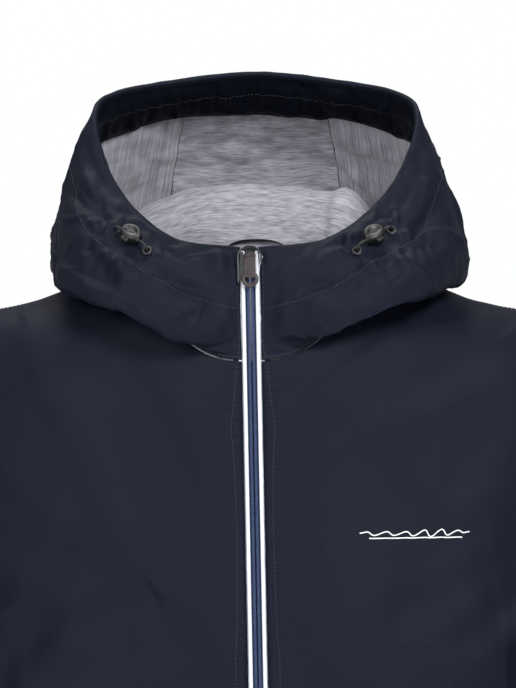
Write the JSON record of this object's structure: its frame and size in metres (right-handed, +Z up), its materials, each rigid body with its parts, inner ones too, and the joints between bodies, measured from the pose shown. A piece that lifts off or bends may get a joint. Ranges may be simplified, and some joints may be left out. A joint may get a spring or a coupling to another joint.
{
  "type": "hooded jacket",
  "caption": "Hooded foul weather jacket: woven shell, full-length zip with contrast piping, jersey-lined hood with cord locks",
  "frame": {"origin": "the hook point under the crown of the hanger loop, inside the back neck", "axes": "+Z up the garment towards the hood, +X towards the wearer's left sleeve, -Y out of the chest"},
  "size_m": [0.7622, 0.3346, 0.8854],
  "materials": {
    "shell": "plain-woven nylon shell, dark navy, faint sheen",
    "facing": "near-black woven nylon facing",
    "jersey": "grey marl jersey",
    "zip_tape": "blue woven zip tape and nylon coil",
    "piping": "white woven piping",
    "gunmetal": "dark gunmetal plated zinc",
    "steel": "bright spring steel",
    "moulding": "black moulded acetal",
    "cord": "black braided polyester cord",
    "thread": "white embroidery thread"
  },
  "bodies": {
    "jacket": {"front_panel_left": "shell", "front_panel_right": "shell", "back_panel": "shell", "body_lining_left": "jersey", "body_lining_right": "jersey", "body_lining_back": "jersey", "hem_facing": "facing", "neck_tape": "facing", "sleeve_left": "shell", "sleeve_lining_left": "jersey", "cuff_left": "shell", "sleeve_right": "shell", "sleeve_lining_right": "jersey", "cuff_right": "shell", "hood_side_left": "shell", "hood_lining_left": "jersey", "hood_facing_left": "facing", "hood_side_right": "shell", "hood_lining_right": "jersey", "hood_facing_right": "facing", "hood_centre_panel": "shell", "hood_lining_centre": "jersey", "hood_rim": "shell", "eyelet_lower_left": "moulding", "eyelet_upper_left": "moulding", "cord_loop_left": "cord", "eyelet_lower_right": "moulding", "eyelet_upper_right": "moulding", "cord_loop_right": "cord", "hood_drawcord": "cord", "zip_tape_left": "zip_tape", "zip_coil_left": "zip_tape", "piping_left": "piping", "zip_stop_left": "steel", "zip_tape_right": "zip_tape", "zip_coil_right": "zip_tape", "piping_right": "piping", "zip_stop_right": "steel", "zip_pin": "gunmetal", "zip_retainer": "gunmetal", "wind_flap": "shell", "zip_garage": "facing", "pocket_zip_left": "zip_tape", "pocket_bag_left": "facing", "pocket_zip_right": "zip_tape", "pocket_bag_right": "facing", "hanger_loop": "facing", "chest_embroidery": "thread"},
    "main_slider": {"zip_slider": "gunmetal"},
    "main_puller": {"zip_puller": "gunmetal"},
    "pocket_slider_left": {"pocket_left_slider": "gunmetal"},
    "pocket_puller_left": {"pocket_left_puller": "gunmetal"},
    "lock_left": {"cord_lock_left": "moulding", "cord_lock_spring_left": "steel"},
    "lock_plunger_left": {"cord_lock_plunger_left": "moulding"},
    "pocket_slider_right": {"pocket_right_slider": "gunmetal"},
    "pocket_puller_right": {"pocket_right_puller": "gunmetal"},
    "lock_right": {"cord_lock_right": "moulding", "cord_lock_spring_right": "steel"},
    "lock_plunger_right": {"cord_lock_plunger_right": "moulding"}
  },
  "joints": [
    {"name": "main_zip", "type": "slide", "parent": "jacket", "child": "main_slider", "axis": [0.0199, -0.1093, -0.9938], "range_m": [0, 0.68]},
    {"name": "main_puller_swing", "type": "hinge", "parent": "main_slider", "child": "main_puller", "pos_m": [-0.00491, -0.15888, -0.01209], "axis": [-0.9998, -0.0022, -0.0198], "range_deg": [0, 150]},
    {"name": "pocket_zip_left", "type": "slide", "parent": "jacket", "child": "pocket_slider_left", "axis": [0.0769, -0.0344, -0.9964], "range_m": [0, 0.149]},
    {"name": "pocket_puller_left_swing", "type": "hinge", "parent": "pocket_slider_left", "child": "pocket_puller_left", "pos_m": [0.18635, -0.16628, -0.4244], "axis": [-0.7743, -0.6316, -0.0379], "range_deg": [0, 150]},
    {"name": "lock_left_along_cord", "type": "slide", "parent": "jacket", "child": "lock_left", "axis": [0.7636, 0.4657, 0.4472], "range_m": [-0.002, 0.002]},
    {"name": "lock_left_press", "type": "slide", "parent": "lock_left", "child": "lock_plunger_left", "axis": [-0.643, 0.4862, 0.5917], "range_m": [0, 0.002], "stiffness_N_per_m": 600, "springref_m": -0.002, "deforming": ["cord_lock_spring_left"]},
    {"name": "pocket_zip_right", "type": "slide", "parent": "jacket", "child": "pocket_slider_right", "axis": [-0.0683, -0.0344, -0.9971], "range_m": [0, 0.149]},
    {"name": "pocket_puller_right_swing", "type": "hinge", "parent": "pocket_slider_right", "child": "pocket_puller_right", "pos_m": [-0.18333, -0.16639, -0.42443], "axis": [-0.7993, 0.6, 0.034], "range_deg": [0, 150]},
    {"name": "lock_right_along_cord", "type": "slide", "parent": "jacket", "child": "lock_right", "axis": [0.7373, -0.4874, -0.4679], "range_m": [-0.002, 0.002]},
    {"name": "lock_right_press", "type": "slide", "parent": "lock_right", "child": "lock_plunger_right", "axis": [0.6727, 0.4652, 0.5754], "range_m": [0, 0.002], "stiffness_N_per_m": 600, "springref_m": -0.002, "deforming": ["cord_lock_spring_right"]}
  ]
}
